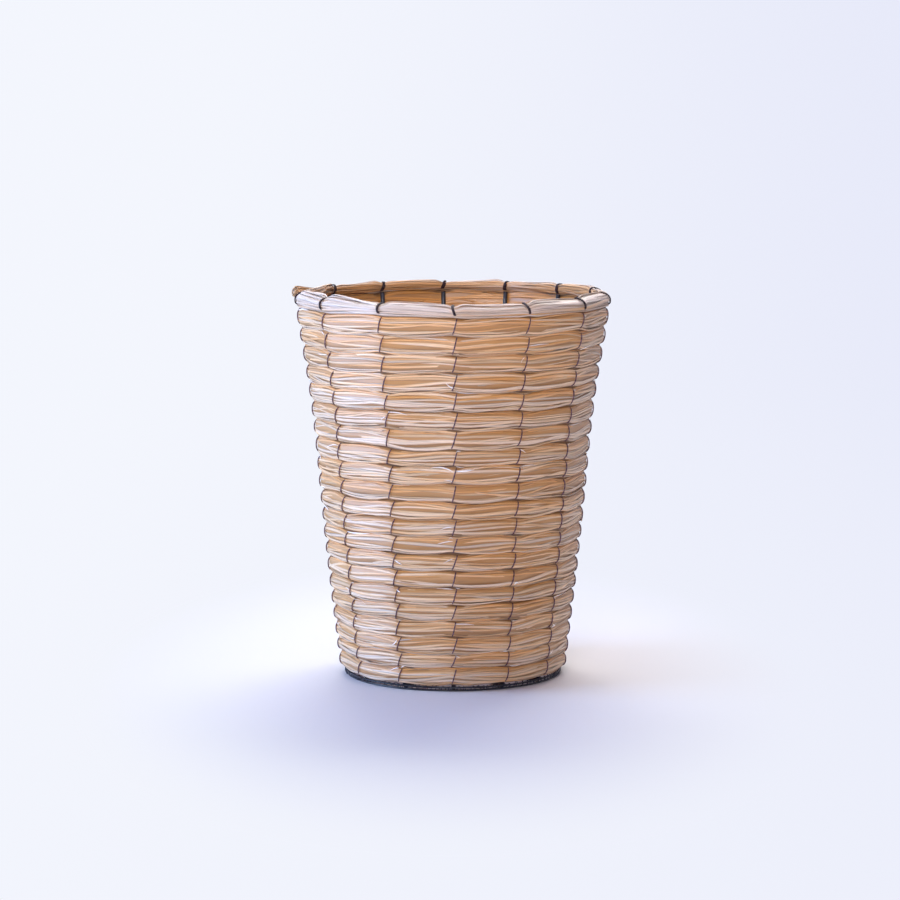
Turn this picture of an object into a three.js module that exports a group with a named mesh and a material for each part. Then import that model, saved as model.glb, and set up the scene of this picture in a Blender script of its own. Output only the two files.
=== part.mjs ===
// A free-standing flower basket. Level rows of straw are lashed with thread to upright wire stays,
// a rim bundle closes the top, and a wire foot carries the stays and the open wire floor.
// Millimetres, +Z up. The origin is the middle of the foot, on the surface that it stands on.
import * as THREE from "three";

// Driving dimensions
const FOOT_RADIUS = 80.3; // outer face of the lowest row, at a column
const RIM_RADIUS = 110.9; // outer face of the rim bundle, at a column
const WALL_HOLLOW = 2.4; // how far the wall draws in from a straight taper
const HOLLOW_SKEW = 1.9; // above 1 puts the deepest part of the hollow in the upper half
const WALL_HEIGHT = 255; // from the foot of the lowest row to the rim
const ROW_COUNT = 21;
const ROW_GROWTH = 0.09; // share by which the top row is taller than the mean, and the lowest shorter
const ROW_DEPTH = 5.6; // from the stay side of a row to its crest
const ROW_PINCH = 0.5; // how far a lashing draws in a face of the row that it wraps
const RIM_HEIGHT = 9;
const RIM_LAP = 16; // degrees over which the two ends of the rim bundle lie side by side
const COLUMN_COUNT = 13; // stays, each with its lashing
const FIRST_COLUMN = -80.6; // degrees from the front, positive to the right, before the spacing strays
const SEAM_EXTRA = 14.2; // degrees by which the bay at the rim's lap is wider than the others
const SPACING_STRAY = 2.2; // degrees by which hand spacing moves the columns to the right, at most
const STRAY_SIDE = 50; // direction where the columns stray most; opposite it they stray to the left
const STAY_DIAMETER = 3.2;
const STAY_BEND = 2.4; // centre-line radius of the bend at the foot of a stay
const FLOOR_LIFT = 0.2; // the turned-in part of a stay clears the ground by this
const FOOT_WIRE = 1.5; // wire of the two foot rings
const FOOT_GAP = 1.2; // free height between the foot rings and the lowest lashing
const HUB_RADIUS = 14; // centre line of the ring in the middle of the floor
const HUB_WIRE = 2.6;
const THREAD_DIAMETER = 0.9;
const THREAD_PLAY = 0.25; // free room on each side of a thread between two rows
const TIE_LOOPS = 2; // turns of thread over the rim at each stay
const TIE_PITCH = 1.4; // step from one of these turns to the next
const CLEARANCE = 0.3; // gap between pieces that touch

// Shape of the sections, as shares of a row's own depth and height
const SHOULDER_INSET = 0.3; // how far behind the crest the top and bottom edges of a row lie
const BACK_HEIGHT = 0.42; // half height of the flat side that lies on the stays
const RIM_SHOULDER = 0.32; // half width of the rim's flat top and bottom

// Fineness of the round wires and threads
const STAY_SIDES = 6;
const RING_SIDES = 8;
const THREAD_SIDES = 3;
const ROWS_PER_STAY_STEP = 2;
const BEND_STEPS = 2;
const LAP_STEPS = 2;

// Derived heights
const GROOVE = THREAD_DIAMETER + 2 * THREAD_PLAY;
const FOOT_TOP = 2 * FOOT_WIRE + CLEARANCE + FOOT_GAP;
const STACK_BOTTOM = FOOT_TOP + GROOVE / 2;
const STACK_TOP = STACK_BOTTOM + WALL_HEIGHT;
const RIM_MIDDLE = STACK_TOP + (RIM_HEIGHT + CLEARANCE) / 2;
const FLOOR_WIRE_HEIGHT = FLOOR_LIFT + STAY_DIAMETER / 2;
const RIM_DEPTH = ROW_DEPTH + STAY_DIAMETER + CLEARANCE;

// Radius of the wall's outer face: a straight taper less a hollow that fades out at both ends.
function wallRadius(z) {
  const share = THREE.MathUtils.clamp((z - STACK_BOTTOM) / (RIM_MIDDLE - STACK_BOTTOM), 0, 1);
  const hollow = Math.sin(Math.PI * share ** HOLLOW_SKEW) ** 2;
  return THREE.MathUtils.lerp(FOOT_RADIUS, RIM_RADIUS, share) - WALL_HOLLOW * hollow;
}

// Centre line of a stay, which touches the inner side of the rows where they are drawn in.
function stayRadius(z) {
  return wallRadius(z) - ROW_DEPTH + ROW_PINCH - CLEARANCE - STAY_DIAMETER / 2;
}

// Height of the groove above a row, counted from the foot; groove 0 lies under the lowest row.
function grooveHeight(row) {
  const share = row / ROW_COUNT;
  return STACK_BOTTOM + WALL_HEIGHT * share * (1 + ROW_GROWTH * (share - 1));
}

// Directions of the columns. The last bay, back to the first column, is the wide one.
const COLUMN_PITCH = THREE.MathUtils.degToRad((360 - SEAM_EXTRA) / COLUMN_COUNT);
const columns = Array.from({ length: COLUMN_COUNT }, (_, i) => {
  const even = THREE.MathUtils.degToRad(FIRST_COLUMN) + i * COLUMN_PITCH;
  const stray = THREE.MathUtils.degToRad(SPACING_STRAY);
  return even + stray * Math.cos(even - THREE.MathUtils.degToRad(STRAY_SIDE));
});
const bays = columns.map((angle, i) => (columns[i + 1] ?? columns[0] + 2 * Math.PI) - angle);
const SEAM_MIDDLE = columns[COLUMN_COUNT - 1] + bays[COLUMN_COUNT - 1] / 2;

// A point in a column's own directions: out from the axis, sideways to the right, and up.
function place(angle, out, side, z) {
  return new THREE.Vector3(
    out * Math.sin(angle) + side * Math.cos(angle),
    -out * Math.cos(angle) + side * Math.sin(angle),
    z,
  );
}

// Closed surface through rings of points, joined end to start, or capped flat at both ends.
// Each ring runs anticlockwise for someone whom the path comes towards.
function skin(rings, closed) {
  const sides = rings[0].length;
  const spans = closed ? rings.length : rings.length - 1;
  const index = [];
  for (let i = 0; i < spans; i++) {
    const here = i * sides;
    const next = ((i + 1) % rings.length) * sides;
    for (let j = 0; j < sides; j++) {
      const k = (j + 1) % sides;
      index.push(here + j, next + k, next + j);
      index.push(here + j, here + k, next + k);
    }
  }
  if (!closed) {
    const last = (rings.length - 1) * sides;
    for (let j = 1; j < sides - 1; j++) {
      index.push(0, j + 1, j);
      index.push(last, last + j, last + j + 1);
    }
  }
  const geometry = new THREE.BufferGeometry().setFromPoints(rings.flat());
  geometry.setIndex(index);
  geometry.computeVertexNormals();
  return geometry;
}

// Round wire or thread through points, with a mitre at each corner.
function wire(points, diameter, sides) {
  const runs = points.slice(1).map((p, i) => p.clone().sub(points[i]).normalize());
  const axes = [new THREE.Vector3(1, 0, 0), new THREE.Vector3(0, 1, 0), new THREE.Vector3(0, 0, 1)];
  axes.sort((a, b) => Math.abs(a.dot(runs[0])) - Math.abs(b.dot(runs[0])));
  const across = axes[0].cross(runs[0]).normalize();
  const other = runs[0].clone().cross(across);
  let ring = Array.from({ length: sides }, (_, j) => {
    const turn = (2 * Math.PI * (j + 0.5)) / sides;
    const spoke = across.clone().multiplyScalar(Math.cos(turn));
    return spoke.addScaledVector(other, Math.sin(turn)).multiplyScalar(diameter / 2);
  });
  const rings = points.map((point, i) => {
    const before = runs[Math.max(i - 1, 0)];
    const after = runs[Math.min(i, runs.length - 1)];
    const mitre = before.clone().add(after).normalize();
    const slide = (v) => -v.dot(mitre) / before.dot(mitre);
    const corner = ring.map((v) => v.clone().addScaledVector(before, slide(v)));
    ring = corner.map((v) => v.clone().addScaledVector(after, -v.dot(after)));
    return corner.map((v) => v.clone().add(point));
  });
  return skin(rings, false);
}

// Directions of the columns and of the middles of the bays, with the draw of the lashing at each.
// The straw runs straight from column to column, so between them it is nearer to the axis by the share reach.
const hoopStations = columns.flatMap((angle, i) => [
  { angle, drawn: 1, reach: 1 },
  { angle: angle + bays[i] / 2, drawn: 0, reach: Math.cos(bays[i] / 2) },
]);

// Level wire ring with a flat underside and a corner at each stay.
function wireRing(radius, diameter, z) {
  const corner = diameter / 2 / Math.cos(Math.PI / RING_SIDES);
  const rings = hoopStations.map(({ angle }) =>
    Array.from({ length: RING_SIDES }, (_, j) => {
      const turn = (2 * Math.PI * (j + 0.5)) / RING_SIDES;
      return place(angle, radius + corner * Math.cos(turn), 0, z - corner * Math.sin(turn));
    }),
  );
  return skin(rings, true);
}

// One row: flat against the stays, a crest outside, full in the bays and drawn in at the lashings.
// It leans with the wall.
function rowHoop(row) {
  const pitch = grooveHeight(row) - grooveHeight(row - 1);
  const z = grooveHeight(row) - pitch / 2;
  const rings = hoopStations.map(({ angle, drawn, reach }) => {
    const height = pitch - THREE.MathUtils.lerp(CLEARANCE, GROOVE, drawn);
    const point = (inward, rise) => place(angle, (wallRadius(z + rise) - inward) * reach, 0, z + rise);
    const back = ROW_DEPTH - drawn * ROW_PINCH;
    const shoulder = ROW_DEPTH * SHOULDER_INSET;
    return [
      point(drawn * ROW_PINCH, 0),
      point(shoulder, -height / 2),
      point(back, -height * BACK_HEIGHT),
      point(back, height * BACK_HEIGHT),
      point(shoulder, height / 2),
    ];
  });
  return skin(rings, true);
}

// Section of the rim bundle between an inner and an outer radius, lower where it is tied.
function rimSection({ angle, drawn, reach }, innermost, outermost) {
  const inner = innermost * reach;
  const outer = outermost * reach;
  const middle = (inner + outer) / 2;
  const flat = (outer - inner) * RIM_SHOULDER;
  const top = RIM_MIDDLE + RIM_HEIGHT / 2 - drawn * ROW_PINCH;
  const bottom = STACK_TOP + THREE.MathUtils.lerp(CLEARANCE, GROOVE, drawn) / 2;
  return [
    place(angle, outer - drawn * ROW_PINCH, 0, RIM_MIDDLE),
    place(angle, middle + flat, 0, bottom),
    place(angle, middle - flat, 0, bottom),
    place(angle, inner + drawn * ROW_PINCH, 0, RIM_MIDDLE),
    place(angle, middle - flat, 0, top),
    place(angle, middle + flat, 0, top),
  ];
}

// Rim bundle: one length of straw whose ends thin to half and lie side by side in the wide bay.
function rimBundle() {
  const inner = RIM_RADIUS - RIM_DEPTH;
  const middle = RIM_RADIUS - RIM_DEPTH / 2;
  const lap = THREE.MathUtils.degToRad(RIM_LAP);
  const lapStations = Array.from({ length: LAP_STEPS + 1 }, (_, i) => {
    const offset = lap * (i / LAP_STEPS - 0.5);
    const reach = Math.cos(bays[COLUMN_COUNT - 1] / 2) / Math.cos(offset);
    return { angle: SEAM_MIDDLE + offset, drawn: 0, reach };
  });
  const tucked = lapStations.map((station) => rimSection(station, inner, middle - CLEARANCE / 2));
  const round = hoopStations.slice(0, -1).map((station) => rimSection(station, inner, RIM_RADIUS));
  const outside = lapStations.map((station) => rimSection(station, middle + CLEARANCE / 2, RIM_RADIUS));
  return skin([...tucked, ...round, ...outside], false);
}

// Points round the bend of a stay, from the wall to the floor, in its own upright plane.
function bendPoints(angle) {
  const centre = FLOOR_WIRE_HEIGHT + STAY_BEND;
  const out = stayRadius(centre) - STAY_BEND;
  return Array.from({ length: BEND_STEPS + 1 }, (_, i) => {
    const turn = (Math.PI / 2) * (i / BEND_STEPS);
    return place(angle, out + STAY_BEND * Math.cos(turn), 0, centre - STAY_BEND * Math.sin(turn));
  });
}

// Upright stay: down the inside of the rows, round the bend and in to the hub of the floor.
function stay(angle) {
  const top = STACK_TOP - GROOVE / 2;
  const wall = [place(angle, stayRadius(top), 0, top)];
  for (let row = ROW_COUNT - 1; row > 0; row -= ROWS_PER_STAY_STEP) {
    wall.push(place(angle, stayRadius(grooveHeight(row)), 0, grooveHeight(row)));
  }
  const tip = HUB_RADIUS + HUB_WIRE / 2 + CLEARANCE;
  const points = [...wall, ...bendPoints(angle), place(angle, tip, 0, FLOOR_WIRE_HEIGHT)];
  return wire(points, STAY_DIAMETER, STAY_SIDES);
}

// Route of a lashing: behind the stay, out, slanting up over a row, in again, and so on up the wall.
// At the top it goes over the rim a few times, and its end is tucked in under the rim.
// These turns lie to the left of the column, where the rim runs straight to the column before it.
function lashingPoints(angle, bayBefore) {
  const reach = CLEARANCE + THREAD_DIAMETER / 2;
  const side = STAY_DIAMETER / 2 + reach;
  const outside = (z) => wallRadius(z) - ROW_PINCH + reach;
  const behind = (z) => stayRadius(z) - STAY_DIAMETER / 2 - reach;
  const points = [];
  for (let row = 1; row <= ROW_COUNT; row++) {
    const low = grooveHeight(row - 1);
    const high = grooveHeight(row);
    points.push(place(angle, behind(low), side, low));
    points.push(place(angle, behind(low), -side, low));
    points.push(place(angle, outside(low), -side, low));
    points.push(place(angle, outside(high), side, high));
  }
  const rimOut = RIM_RADIUS - ROW_PINCH + reach;
  const rimIn = RIM_RADIUS - RIM_DEPTH + ROW_PINCH - reach;
  const rimTop = RIM_MIDDLE + RIM_HEIGHT / 2 - ROW_PINCH + reach;
  const fall = Math.tan(bayBefore / 2);
  const tiePoint = (out, left, z) => points.push(place(angle, out - left * fall, -left, z));
  points.push(place(angle, rimIn, side, STACK_TOP));
  for (let loop = 0; loop < TIE_LOOPS; loop++) {
    const left = loop * TIE_PITCH;
    tiePoint(rimIn, left, STACK_TOP);
    tiePoint(rimIn, left + TIE_PITCH / 4, rimTop);
    tiePoint(rimOut, left + TIE_PITCH / 2, rimTop);
    tiePoint(rimOut, left + TIE_PITCH, STACK_TOP);
  }
  tiePoint(rimIn, TIE_LOOPS * TIE_PITCH, STACK_TOP);
  return points;
}

// Least clear distance between parts of one thread that are not next to each other along it.
function leastGap(points, diameter) {
  const step = diameter / 2;
  const samples = [];
  let along = 0;
  for (let i = 1; i < points.length; i++) {
    const length = points[i].distanceTo(points[i - 1]);
    const count = Math.ceil(length / step);
    for (let j = 0; j < count; j++) {
      const share = j / count;
      samples.push({ at: points[i - 1].clone().lerp(points[i], share), along: along + length * share });
    }
    along += length;
  }
  const apart = (a, b) => (b.along - a.along > 3 * diameter ? a.at.distanceTo(b.at) : Infinity);
  const gaps = samples.map((a, i) => Math.min(...samples.slice(i + 1).map((b) => apart(a, b)), Infinity));
  return Math.min(...gaps) - diameter;
}

// Finishes
const straw = new THREE.MeshStandardMaterial({ color: 0xd2a679, roughness: 0.5, metalness: 0 });
const paleStraw = new THREE.MeshStandardMaterial({ color: 0xd9c2ad, roughness: 0.5, metalness: 0 });
const blackWire = new THREE.MeshStandardMaterial({ color: 0x15161c, roughness: 0.35, metalness: 0.4 });
const darkThread = new THREE.MeshStandardMaterial({ color: 0x3a2430, roughness: 0.8, metalness: 0 });

const basket = new THREE.Group();

function add(name, geometry, material) {
  const mesh = new THREE.Mesh(geometry, material);
  mesh.name = name;
  basket.add(mesh);
}

const twoDigits = (n) => String(n).padStart(2, "0");

// Wire frame
const lowerRing = FOOT_WIRE / 2;
const upperRing = FOOT_WIRE * 1.5 + CLEARANCE;
const bendCentre = FLOOR_WIRE_HEIGHT + STAY_BEND;
const ringReach = STAY_BEND + STAY_DIAMETER / 2 + CLEARANCE + FOOT_WIRE / 2;
const belowBend = Math.max(bendCentre - upperRing, 0);
const ringRadius = stayRadius(bendCentre) - STAY_BEND + Math.sqrt(ringReach ** 2 - belowBend ** 2);
add("foot_ring", wireRing(ringRadius, FOOT_WIRE, lowerRing), blackWire);
add("foot_ring_upper", wireRing(ringRadius, FOOT_WIRE, upperRing), blackWire);
add("hub_ring", wireRing(HUB_RADIUS, HUB_WIRE, FLOOR_WIRE_HEIGHT), blackWire);
columns.forEach((angle, i) => add(`stay_${twoDigits(i + 1)}`, stay(angle), blackWire));

// Straw
for (let row = 1; row <= ROW_COUNT; row++) {
  add(`row_${twoDigits(row)}`, rowHoop(row), straw);
}
add("rim_bundle", rimBundle(), paleStraw);

// Thread
const routes = columns.map((angle, i) => lashingPoints(angle, bays.at(i - 1)));
routes.forEach((route, i) => {
  add(`lashing_${twoDigits(i + 1)}`, wire(route, THREAD_DIAMETER, THREAD_SIDES), darkThread);
});
const threadGap = Math.min(...routes.map((route) => leastGap(route, THREAD_DIAMETER)));
console.log(`least gap of a lashing to itself: ${threadGap.toFixed(2)} mm`);

export default basket;
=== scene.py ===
import math
from collections import namedtuple

import bpy
import numpy as np
from bpy.props import FloatProperty, FloatVectorProperty, IntProperty, PointerProperty
from bpy.types import Operator, Panel, PropertyGroup
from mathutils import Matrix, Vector


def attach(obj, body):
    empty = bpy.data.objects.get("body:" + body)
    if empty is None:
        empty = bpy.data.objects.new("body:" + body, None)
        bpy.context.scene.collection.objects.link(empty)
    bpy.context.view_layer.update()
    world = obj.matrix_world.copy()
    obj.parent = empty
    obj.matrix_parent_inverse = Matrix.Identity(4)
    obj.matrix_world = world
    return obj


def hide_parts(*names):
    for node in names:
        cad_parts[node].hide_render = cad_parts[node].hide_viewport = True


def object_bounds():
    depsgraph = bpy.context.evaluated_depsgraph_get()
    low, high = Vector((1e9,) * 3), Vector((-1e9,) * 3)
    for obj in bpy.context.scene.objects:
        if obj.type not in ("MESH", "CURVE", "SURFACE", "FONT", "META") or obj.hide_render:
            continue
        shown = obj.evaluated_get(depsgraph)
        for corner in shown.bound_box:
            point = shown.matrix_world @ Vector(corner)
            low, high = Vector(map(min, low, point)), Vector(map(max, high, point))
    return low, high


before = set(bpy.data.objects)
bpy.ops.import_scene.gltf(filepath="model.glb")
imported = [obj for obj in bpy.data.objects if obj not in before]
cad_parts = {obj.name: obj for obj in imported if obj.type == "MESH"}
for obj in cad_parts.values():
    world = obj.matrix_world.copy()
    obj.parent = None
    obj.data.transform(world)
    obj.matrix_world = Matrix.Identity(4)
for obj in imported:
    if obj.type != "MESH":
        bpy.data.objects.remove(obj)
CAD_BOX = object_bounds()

bl_info = {
    "name": "Ikebana Basket",
    "version": (1, 0, 0),
    "blender": (4, 5, 0),
    "location": "3D View > Sidebar > Basket",
    "description": "Dresses the basket's solids with straw strips, thread, wire and a pale stage",
    "category": "Object",
}

MM = 0.001
FULL_TURN = 2 * np.pi
UPWARDS = np.array([0.0, 0.0, 1.0])

# Solids: where a stay is upright, the step between its rings, what counts as at a lashing, and rounding
UPRIGHT_ABOVE = 10 * MM
STAY_RING_STEP = 5 * MM
AT_LASHING = 0.002
ROUNDING = 1e-9

# Stations round a hoop, and the share of a bay by which they crowd towards the lashings
STATIONS_PER_BAY = 11
STATION_CROWDING = 0.72

# Lines between rows: step at a lashing and its share at the foot, orders of the waves and their end share
SAW_STEP = 3 * MM
FOOT_SAW = 0.55
LINE_WAVES = (1, 9)
END_WAVE = 0.4

# Section of a bundle: an exponent of one is an ellipse, and less than one is fuller in the corners
SECTION_FULLNESS = 0.9
CORE_DEPTH = 0.84
CORE_HEIGHT = 0.97
TOP_ROW_TILT = 0.35

# One strip: sides, curve of its back in one over metres, and how much single strips differ
STRIP_SIDES = 6
STRIP_BOW = 45
STRIP_SPACING = 0.4
STRIP_LIFT = (-1.4, 0.7)
STRIP_LIFT_STRAY = 0.5
STRIP_WIDTHS = (0.55, 1.45)
NARROWING = 0.25
STRAGGLE_HELD = 0.5
TWIST_WAVES = (4, 18)
TWIST_SPREAD = 1.7

# Tone of a strip: spread, stray, height and sharpness of the row's band of painted shade and sheen, and the
# painted shade inside the basket and in the core
TONE_SPREAD = 0.14
TONE_STRAY = 0.2
# The band is painted light: painted shade at a row's top and painted sheen at its foot
BAND_HEIGHT = 0.42
BAND_SHARPNESS = 3
PAINTED_INSIDE_SHADE = 0.9
PAINTED_CORE_SHADE = 0.9

# Rim: stations, lap of its ends, length of a tie's notch, waves of its top and what its ends lose
RIM_STATIONS = 280
RIM_LAP = math.radians(16)
LAP_EASE = 0.8 * RIM_LAP
TIE_NOTCH_LENGTH = 4 * MM
RIM_WAVE = 0.4 * MM
RIM_WAVES = (2, 9)
END_THINNING = 0.25
END_HALVING = 0.5
CUT_LENGTH = 9 * MM
CUT_TONE = 0.8

# Loose slivers: points, sides, lengths, starting heights on a row and how they lift and curl
SLIVER_POINTS = 8
SLIVER_SIDES = 4
SLIVER_LENGTHS = (3, 22)
SLIVER_RIGHTWARD = 0.7
SLIVER_START = 0.9 * MM
SLIVER_HEIGHTS = {-0.8: 0.25, 0.8: 0.6, 0.0: 0.15}
SLIVER_HEIGHT_SPREAD = 0.15
SLIVER_CLIMB = 0.35
SLIVER_LIMIT = 0.95
SLIVER_LEAST_REACH = 0.55
SLIVER_LIFT = (0.2, 0.5)
SLIVER_FLY = (0.0, 0.9)
SLIVER_WIDTHS = (0.6, 1.3)
SLIVER_TAPER = (0.2, 0.8, 0.7)
SLIVER_ROLL = 0.5
SLIVER_CURL = 0.7
SLIVER_THICKNESS = 0.12 * MM
# Tones of the slivers, most near the palest colour, a painted highlight
SLIVER_TONES = (-0.3, 0.7)

# Wire: points along the wall, bend and floor leg of a stay, points of a ring, sides, and gap at the hub
WALL_POINTS = 44
BEND_POINTS = 9
LEG_POINTS = 12
RING_POINTS = 180
WIRE_SIDES = 12
HUB_GAP = 0.3 * MM
STAY_WAVES = (1, 5)
STAY_WAVE_LENGTH = 5
STEADY_POINTS = 6
WALL_WAVER = 0.4
RING_WAVES = (2, 6)
RING_LIFT = 0.2

# Thread: angles round a row and a stay, share of a row that a stitch spans, and how the stitches differ
STITCH_ARC = np.radians(np.linspace(-90, 90, 11))
STAY_ARC = np.radians(np.array([12, 50, 90, 130, 168]))
STITCH_REACH = 0.9
STITCH_STEPS = (0.8, 1.2)
STITCH_SHIFT = 0.25 * MM
STITCH_SINK = 0.1 * MM
THREAD_SIDES = 8
CURVE_STEPS = 2

# Rim ties: step in degrees, part turn at the end, squareness, room, sideways start, and foot in and out
TIE_STEP = 24
TIE_END = 0.3
TIE_SQUARENESS = 0.8
TIE_ROOM = 0.1 * MM
TIE_START = 0.6 * MM
TIE_FOOT_OUTSIDE = 2.6
TIE_FOOT_INSIDE = 0.6
TIE_THICKER = 0.1

# Thread wound round the foot: points to a turn, sides, waves, room, loose loops and sideways stray
TURN_POINTS = 12
FOOT_SIDES = 6
FOOT_WAVES = (3, 90)
FOOT_ROOM = 0.2 * MM
FOOT_STRAY = 0.15 * MM
FOOT_GROUND = 0.35 * MM
FOOT_OVER = 0.3 * MM
FOOT_LOOP = 1.1 * MM
FOOT_LOOP_LIMIT = 1.8
FOOT_SIDEWAYS = 0.012

# Random streams, one to each kind of piece
RIM_STREAM = 100
THREAD_STREAM = 200
SLIVER_STREAM = 300
STAY_STREAM = 7
RING_STREAM = 11
FOOT_STREAM = 31

# Straw finish: noise scales along, round and between strips, weights on tone and light with painted shade at
# the strips' edges, and gloss
FIBRE_SCALE = (45, 26, 1)
PATCH_SCALE = (16, 2, 1)
STRIPS_APART = 60.0
FIBRE_TONE = 0.3
PATCH_TONE = 0.45
BASE_LIGHT = 0.50
STRIP_LIGHT = -0.5
FIBRE_LIGHT = 0.7
PAINTED_EDGE_SHADE = 0.8
ROW_TONE_SHIFT = -0.42
RIM_TONE_SHIFT = -0.525
SLIVER_TONE_SHIFT = -0.275
STRAW_ROUGHNESS = (0.40, 0.54)
STRAW_BUMP = (0.35, 0.25 * MM)
STRAW_GLOSS = {
    "IOR": 1.65,
    "Specular IOR Level": 0.75,
    "Anisotropic": 0.6,
    "Anisotropic Rotation": 0.25,
    "Sheen Weight": 0.06,
    "Sheen Roughness": 0.5,
    "Sheen Tint": (0.9, 0.9, 1.0, 1),
}

# Wire and thread finishes
NOISE_MIDDLE = (0.3, 0.7)
WIRE_GRAIN = 900
WIRE_WEAR = 120
WEAR_SPAN = (0.4, 0.75)
WORN_GAIN = 2.6
WORN_LIFT = 0.012
WIRE_ROUGHNESS = (0.24, 0.46)
WIRE_BUMP = (0.2, 0.1 * MM)
# Thread plies: scale, middle, painted shade between the plies and painted highlight on their backs
PLY_SCALE = (700, 2, 1)
PLY_MIDDLE = 0.45
PLY_PAINTED_SHADE = 0.35
PLY_PAINTED_HIGHLIGHT = 1.7
TIED_DIMMING = -0.75
THREAD_BUMP = (0.7, 0.15 * MM)
THREAD_GLOSS = {"Roughness": 0.55, "Specular IOR Level": 0.25}

# Stage: the sweep's half size, start of its curve, radius and height, and the paper
SWEEP_HALF = 6.0
SWEEP_BACK = 2.0
SWEEP_RADIUS = 1.0
SWEEP_HEIGHT = 5.0
SWEEP_STEPS = 17
PAPER_CLOUD = 1.5
PAPER_LIGHTER = 1.02
PAPER_GLOSS = {"Roughness": 0.8, "Specular IOR Level": 0.2}
TINT_SPAN = (-0.5, 0.9)
FADE_SHAPE = (1, 0.5, 1)
ROOM_TINT = (0.75, 0.62, 1.0, 1)
SENSOR_WIDTH = 36


# Reading the solids


def node_points(name):
    """Corner points of a CAD node, one to a row."""
    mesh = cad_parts[name].data
    flat = np.empty(len(mesh.vertices) * 3, np.float32)
    mesh.vertices.foreach_get("co", flat)
    return flat.reshape(-1, 3).astype(float)


def nodes_named(start):
    """Names of the CAD nodes that begin with a word, in order."""
    return sorted(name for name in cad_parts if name.startswith(start))


def reach(points):
    """Distance of each point from the basket's axis."""
    return np.hypot(points[:, 0], points[:, 1])


def stay_direction(name):
    """Direction of the middle of a stay's top, from above: 0 is the front, and right is positive."""
    points = node_points(name)
    top = points[points[:, 2] > points[:, 2].max() - MM]
    middle = top.mean(axis=0)
    return math.atan2(middle[0], -middle[1])


def stay_line(name):
    """Heights and radii of the middle of a stay's upright part, from the rings of points that make it."""
    points = np.unique(node_points(name).round(6), axis=0)
    points = points[points[:, 2] > UPRIGHT_ABOVE]
    points = points[np.argsort(points[:, 2])]
    rings = np.split(points, np.flatnonzero(np.diff(points[:, 2]) > STAY_RING_STEP) + 1)
    heights = np.array([ring[:, 2].mean() for ring in rings])
    radii = np.array([reach(ring).mean() for ring in rings])
    return heights, radii


def ring_measures(name):
    """Middle radius, middle height and wire thickness of a ring."""
    points = node_points(name)
    low, high = points[:, 2].min(), points[:, 2].max()
    return (reach(points).min() + reach(points).max()) / 2, (low + high) / 2, high - low


def column_depth(name):
    """Middle radius and half depth of a bundle where it is lashed to the first stay."""
    points = node_points(name)
    away = np.arctan2(points[:, 0], -points[:, 1]) - COLUMNS[0]
    radii = reach(points[np.abs(np.sin(away / 2)) < AT_LASHING])
    return (radii.max() + radii.min()) / 2, (radii.max() - radii.min()) / 2


ROW_NODES = nodes_named("row_")
STAY_NODES = sorted(nodes_named("stay_"), key=stay_direction)
LASHING_NODES = [name.replace("stay_", "lashing_") for name in STAY_NODES]
COLUMNS = np.array([stay_direction(name) for name in STAY_NODES])
BAY_BOUNDS = np.append(COLUMNS, COLUMNS[0] + FULL_TURN)
STAY_HEIGHTS, STAY_RADII = stay_line(STAY_NODES[0])
STAY_TOP = node_points(STAY_NODES[0])[:, 2].max()

ROW_LOW = np.array([node_points(name)[:, 2].min() for name in ROW_NODES])
ROW_HIGH = np.array([node_points(name)[:, 2].max() for name in ROW_NODES])
ROW_MIDDLE, ROW_HALF_DEPTH = np.array([column_depth(name) for name in ROW_NODES]).T
ROW_LEAN = np.gradient(ROW_MIDDLE, (ROW_LOW + ROW_HIGH) / 2)

RIM_HIGH = node_points("rim_bundle")[:, 2].max()
RIM_MIDDLE, RIM_HALF_DEPTH = column_depth("rim_bundle")


# Waves and stations


def waves(rng, count, angle, orders):
    """Smooth random waves round the basket, one to a row.

    Each is a sum of sines of the whole orders from the first to the last, with random sizes and phases, and
    has a spread of about one.
    """
    orders = np.arange(orders[0], orders[1] + 1)
    size = rng.normal(size=(count, len(orders), 1))
    phase = rng.uniform(0, FULL_TURN, (count, len(orders), 1))
    return (size * np.sin(orders[:, None] * angle + phase)).sum(axis=1) / math.sqrt(len(orders) / 2)


def bay_index(angle):
    """Number of the bay of each direction, and the direction in the turn that starts at the first lashing."""
    turned = COLUMNS[0] + (angle - COLUMNS[0]) % FULL_TURN
    return np.clip(np.searchsorted(COLUMNS, turned + ROUNDING) - 1, 0, len(COLUMNS) - 1), turned


def bay_places(angle):
    """Angles from each direction to the lashing on its left and to the one on its right."""
    bay, turned = bay_index(angle)
    return turned - BAY_BOUNDS[bay], BAY_BOUNDS[bay + 1] - turned


def strays(rng, count, angle):
    """Values of spread one that run straight from lashing to lashing, one to a row.

    Each is random at every lashing, and between two it is their mix by the share of the bay.
    """
    at = rng.normal(size=(count, len(COLUMNS)))
    bay, _ = bay_index(angle)
    left, right = bay_places(angle)
    share = left / (left + right)
    return at[:, bay] * (1 - share) + at[:, (bay + 1) % len(COLUMNS)] * share


def hoop_stations():
    """Directions round the basket, crowded towards the lashings.

    The share of a bay at even steps x is x - c sin(2 pi x) / (2 pi), so each bay starts at a lashing.
    """
    even = np.arange(STATIONS_PER_BAY) / STATIONS_PER_BAY
    share = even - STATION_CROWDING * np.sin(FULL_TURN * even) / FULL_TURN
    return (COLUMNS[:, None] + np.diff(BAY_BOUNDS)[:, None] * share).ravel()


def bay_saw(angle, radius):
    """Saw-tooth of one unit that rises to the right in each bay and falls back through zero at each lashing.

    It is the share of the bay less a half, with both ends eased to zero by exponentials of the step's length.
    """
    left, right = bay_places(angle)
    step = SAW_STEP / radius
    return left / (left + right) - 0.5 + 0.5 * np.exp(-left / step) - 0.5 * np.exp(-right / step)


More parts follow.
